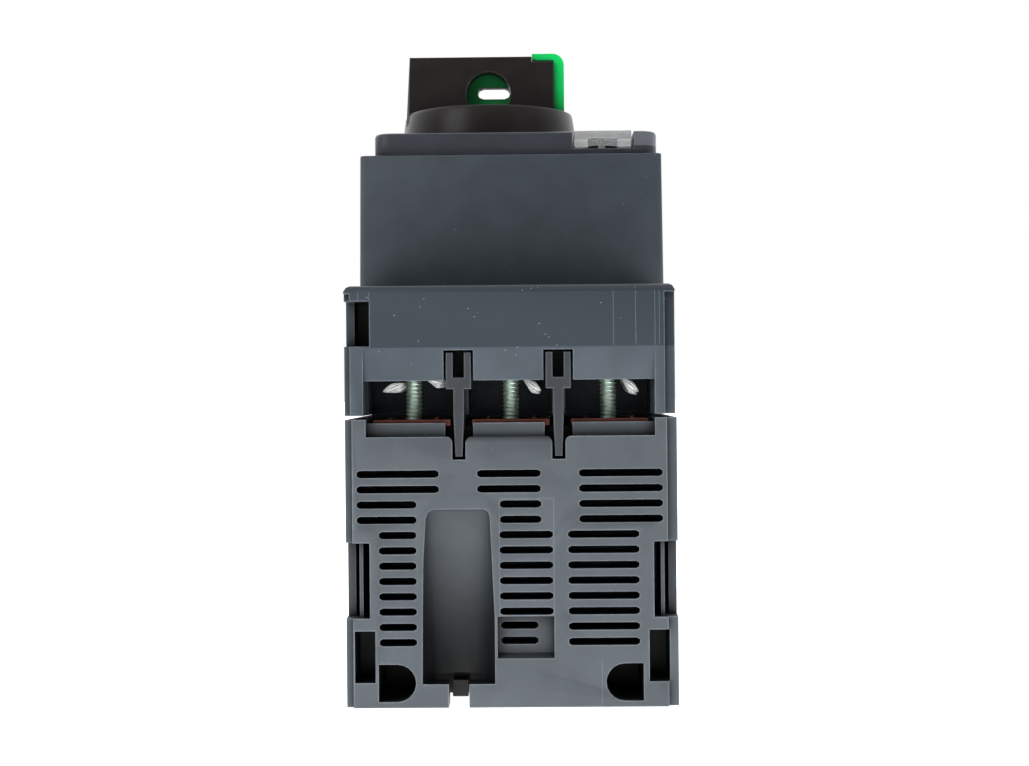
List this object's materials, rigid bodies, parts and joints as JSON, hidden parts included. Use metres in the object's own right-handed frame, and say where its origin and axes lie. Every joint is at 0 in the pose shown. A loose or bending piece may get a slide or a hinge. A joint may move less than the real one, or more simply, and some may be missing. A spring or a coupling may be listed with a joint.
{
  "type": "motor protection circuit breaker",
  "caption": "Rotary-handle motor protection circuit breaker for a 35 mm rail, with screw terminals, vented case and padlockable knob.",
  "frame": {"origin": "centre of the bounding box on the rear face plane", "axes": "+Z out of the front face, +Y towards the line terminals, -Y the load terminals, +X to the right seen from the load end"},
  "size_m": [0.045, 0.089, 0.096],
  "materials": {
    "grey_case": "fine spark-eroded texture, satin",
    "dark_case": "fine spark-eroded texture, satin",
    "nose_plastic": "smooth satin moulding",
    "black_plastic": "smooth satin moulding",
    "green_plastic": "smooth, slightly glossy",
    "clear_plastic": "clear polycarbonate moulding",
    "inner_plastic": "glass-filled moulding",
    "white_plastic": "smooth moulding",
    "copper": "stamped, slightly tarnished copper",
    "bimetal": "rolled strip",
    "spring_steel": "drawn wire",
    "bright_steel": "plain steel",
    "zinc_steel": "zinc plated with a yellowish passivation"
  },
  "bodies": {
    "root": {"arc_chute_1": "bright_steel", "arc_chute_2": "bright_steel", "arc_chute_3": "bright_steel", "fixed_contact_1": "copper", "fixed_contact_2": "copper", "fixed_contact_3": "copper", "front_housing": "dark_case", "front_plate": "nose_plastic", "latch_frame": "zinc_steel", "line_conductor_1": "copper", "line_conductor_2": "copper", "line_conductor_3": "copper", "line_phase_barrier_1": "dark_case", "line_phase_barrier_2": "dark_case", "load_phase_barrier_1": "dark_case", "load_phase_barrier_2": "dark_case", "load_terminal_plate_1": "copper", "load_terminal_plate_2": "copper", "load_terminal_plate_3": "copper", "magnet_coil_1": "copper", "magnet_coil_2": "copper", "magnet_coil_3": "copper", "nose_cover": "nose_plastic", "rear_housing": "grey_case"},
    "handle": {"knob": "black_plastic", "knob_shaft": "inner_plastic"},
    "padlock_tongue": {"padlock_slide": "green_plastic"},
    "carrier": {"contact_carrier": "inner_plastic", "moving_contact_1": "copper", "moving_contact_2": "copper", "moving_contact_3": "copper", "contact_spring_1": "spring_steel", "contact_spring_2": "spring_steel", "contact_spring_3": "spring_steel", "opening_spring": "spring_steel"},
    "cover": {"setting_cover": "clear_plastic"},
    "dial": {"setting_dial": "white_plastic"},
    "test": {"test_button": "white_plastic"},
    "trip": {"trip_bar": "white_plastic"},
    "lever": {"latch_lever": "bright_steel"},
    "clip": {"rail_clip": "black_plastic", "clip_spring": "spring_steel"},
    "plunger_1": {"magnet_plunger_1": "bright_steel"},
    "bimetal_1": {"bimetal_strip_1": "bimetal"},
    "plunger_2": {"magnet_plunger_2": "bright_steel"},
    "bimetal_2": {"bimetal_strip_2": "bimetal"},
    "plunger_3": {"magnet_plunger_3": "bright_steel"},
    "bimetal_3": {"bimetal_strip_3": "bimetal"},
    "load_clamp_1": {"load_clamp_washer_1": "zinc_steel"},
    "load_screw_1": {"load_terminal_screw_1": "zinc_steel"},
    "load_clamp_2": {"load_clamp_washer_2": "zinc_steel"},
    "load_screw_2": {"load_terminal_screw_2": "zinc_steel"},
    "load_clamp_3": {"load_clamp_washer_3": "zinc_steel"},
    "load_screw_3": {"load_terminal_screw_3": "zinc_steel"},
    "line_clamp_1": {"line_clamp_washer_1": "zinc_steel"},
    "line_screw_1": {"line_terminal_screw_1": "zinc_steel"},
    "line_clamp_2": {"line_clamp_washer_2": "zinc_steel"},
    "line_screw_2": {"line_terminal_screw_2": "zinc_steel"},
    "line_clamp_3": {"line_clamp_washer_3": "zinc_steel"},
    "line_screw_3": {"line_terminal_screw_3": "zinc_steel"}
  },
  "joints": [
    {"name": "knob_turn", "type": "hinge", "parent": "root", "child": "handle", "pos_m": [-0.00367, 0, 0.083], "axis": [0, 0, -1], "range_deg": [0, 90]},
    {"name": "carrier_lift", "type": "slide", "parent": "root", "child": "carrier", "axis": [0, 0, -1], "range_m": [0, 0.0024], "deforming": ["opening_spring"]},
    {"name": "padlock_pull", "type": "slide", "parent": "handle", "child": "padlock_tongue", "axis": [1, 0, 0], "range_m": [0, 0.0065]},
    {"name": "cover_flip", "type": "hinge", "parent": "root", "child": "cover", "pos_m": [0.018, -0.012, 0.0813], "axis": [0, 1, 0], "range_deg": [0, 95]},
    {"name": "dial_turn", "type": "hinge", "parent": "root", "child": "dial", "pos_m": [0.0138, -0.0115, 0.076], "axis": [0, 0, -1], "range_deg": [0, 250]},
    {"name": "test_press", "type": "slide", "parent": "root", "child": "test", "axis": [0, 0, -1], "range_m": [0, 0.0015], "stiffness_N_per_m": 300},
    {"name": "trip_turn", "type": "hinge", "parent": "root", "child": "trip", "pos_m": [0, -0.019, 0.05], "axis": [1, 0, 0], "range_deg": [0, 10]},
    {"name": "lever_release", "type": "hinge", "parent": "root", "child": "lever", "pos_m": [0, -0.004, 0.055], "axis": [1, 0, 0], "range_deg": [0, 8]},
    {"name": "plunger_rise_1", "type": "slide", "parent": "root", "child": "plunger_1", "axis": [0, 0, 1], "range_m": [0, 0.0016], "stiffness_N_per_m": 100},
    {"name": "plunger_rise_2", "type": "slide", "parent": "root", "child": "plunger_2", "axis": [0, 0, 1], "range_m": [0, 0.0016], "stiffness_N_per_m": 100},
    {"name": "plunger_rise_3", "type": "slide", "parent": "root", "child": "plunger_3", "axis": [0, 0, 1], "range_m": [0, 0.0016], "stiffness_N_per_m": 100},
    {"name": "bimetal_bend_1", "type": "hinge", "parent": "root", "child": "bimetal_1", "pos_m": [-0.0135, -0.024, 0.0128], "axis": [-1, 0, 0], "range_deg": [0, 3], "stiffness_Nm_per_rad": 0.05},
    {"name": "bimetal_bend_2", "type": "hinge", "parent": "root", "child": "bimetal_2", "pos_m": [0, -0.024, 0.0128], "axis": [-1, 0, 0], "range_deg": [0, 3], "stiffness_Nm_per_rad": 0.05},
    {"name": "bimetal_bend_3", "type": "hinge", "parent": "root", "child": "bimetal_3", "pos_m": [0.0135, -0.024, 0.0128], "axis": [-1, 0, 0], "range_deg": [0, 3], "stiffness_Nm_per_rad": 0.05},
    {"name": "clip_release", "type": "slide", "parent": "root", "child": "clip", "axis": [0, -1, 0], "range_m": [0, 0.0032], "stiffness_N_per_m": 800},
    {"name": "load_clamp_lower_1", "type": "slide", "parent": "root", "child": "load_clamp_1", "axis": [0, 0, -1], "range_m": [0, 0.003]},
    {"name": "load_screw_turn_1", "type": "hinge", "parent": "load_clamp_1", "child": "load_screw_1", "pos_m": [-0.0135, -0.037, 0.046], "axis": [0, 0, -1], "range_deg": [0, 1542.86]},
    {"name": "load_clamp_lower_2", "type": "slide", "parent": "root", "child": "load_clamp_2", "axis": [0, 0, -1], "range_m": [0, 0.003]},
    {"name": "load_screw_turn_2", "type": "hinge", "parent": "load_clamp_2", "child": "load_screw_2", "pos_m": [0, -0.037, 0.046], "axis": [0, 0, -1], "range_deg": [0, 1542.86]},
    {"name": "load_clamp_lower_3", "type": "slide", "parent": "root", "child": "load_clamp_3", "axis": [0, 0, -1], "range_m": [0, 0.003]},
    {"name": "load_screw_turn_3", "type": "hinge", "parent": "load_clamp_3", "child": "load_screw_3", "pos_m": [0.0135, -0.037, 0.046], "axis": [0, 0, -1], "range_deg": [0, 1542.86]},
    {"name": "line_clamp_lower_1", "type": "slide", "parent": "root", "child": "line_clamp_1", "axis": [0, 0, -1], "range_m": [0, 0.003]},
    {"name": "line_screw_turn_1", "type": "hinge", "parent": "line_clamp_1", "child": "line_screw_1", "pos_m": [-0.0135, 0.037, 0.046], "axis": [0, 0, -1], "range_deg": [0, 1542.86]},
    {"name": "line_clamp_lower_2", "type": "slide", "parent": "root", "child": "line_clamp_2", "axis": [0, 0, -1], "range_m": [0, 0.003]},
    {"name": "line_screw_turn_2", "type": "hinge", "parent": "line_clamp_2", "child": "line_screw_2", "pos_m": [0, 0.037, 0.046], "axis": [0, 0, -1], "range_deg": [0, 1542.86]},
    {"name": "line_clamp_lower_3", "type": "slide", "parent": "root", "child": "line_clamp_3", "axis": [0, 0, -1], "range_m": [0, 0.003]},
    {"name": "line_screw_turn_3", "type": "hinge", "parent": "line_clamp_3", "child": "line_screw_3", "pos_m": [0.0135, 0.037, 0.046], "axis": [0, 0, -1], "range_deg": [0, 1542.86]}
  ],
  "couplings": [
    {"joint": "knob_turn", "follows": "carrier_lift", "rad_per_m": 654.5},
    {"joint": "trip_turn", "follows": "test_press", "rad_per_m": 116.36},
    {"joint": "lever_release", "follows": "test_press", "rad_per_m": 93.084},
    {"joint": "load_screw_turn_1", "follows": "load_clamp_lower_1", "rad_per_m": 8976},
    {"joint": "load_screw_turn_2", "follows": "load_clamp_lower_2", "rad_per_m": 8976},
    {"joint": "load_screw_turn_3", "follows": "load_clamp_lower_3", "rad_per_m": 8976},
    {"joint": "line_screw_turn_1", "follows": "line_clamp_lower_1", "rad_per_m": 8976},
    {"joint": "line_screw_turn_2", "follows": "line_clamp_lower_2", "rad_per_m": 8976},
    {"joint": "line_screw_turn_3", "follows": "line_clamp_lower_3", "rad_per_m": 8976}
  ]
}
